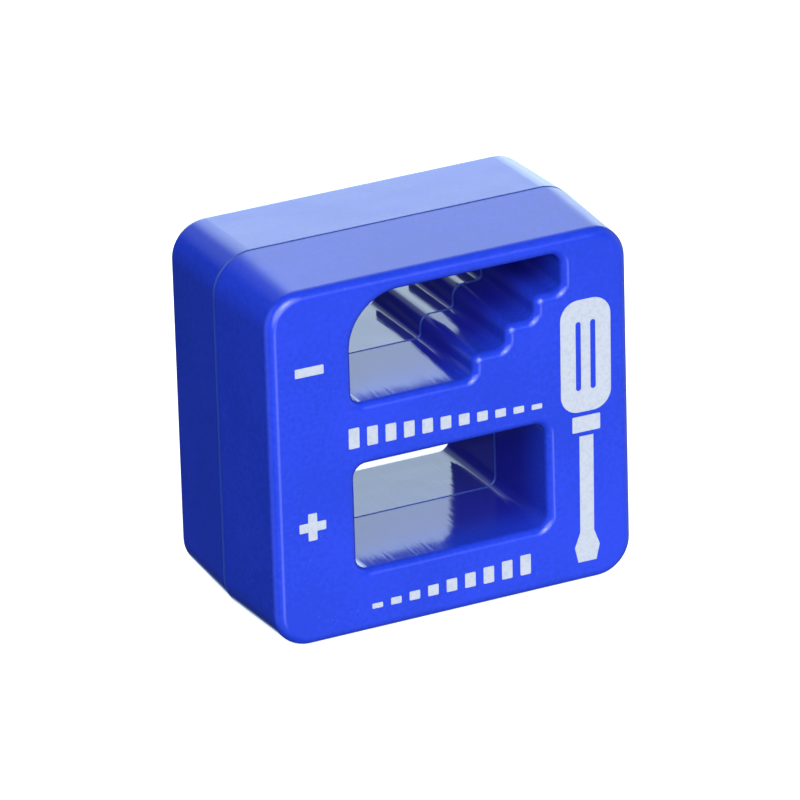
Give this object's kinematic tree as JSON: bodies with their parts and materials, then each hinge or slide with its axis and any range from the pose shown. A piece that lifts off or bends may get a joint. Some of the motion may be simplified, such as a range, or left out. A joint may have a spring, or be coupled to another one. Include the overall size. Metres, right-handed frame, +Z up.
{
  "type": "tool magnetizer demagnetizer block",
  "caption": "Hand-held plastic block with a plain window that magnetizes small tools and a stepped window that demagnetizes them.",
  "frame": {"origin": "bottom centre, on the lowest line of the seam between the two halves", "axes": "+X along the width, to the right when facing the printed face; +Y from the printed front face to the plain rear face; +Z up"},
  "size_m": [0.052, 0.0294, 0.05],
  "materials": {
    "blue_shell": "gloss",
    "ferrite": "matte",
    "foam": "matte",
    "white_print": "satin"
  },
  "bodies": {
    "root": {"front_shell": "blue_shell", "rear_shell": "blue_shell", "web_magnet": "ferrite", "base_magnet": "ferrite", "web_magnet_pad": "foam", "base_magnet_pad": "foam", "minus_mark": "white_print", "plus_mark": "white_print", "demagnetize_mark": "white_print", "magnetize_mark": "white_print", "tool_mark": "white_print"}
  },
  "joints": []
}
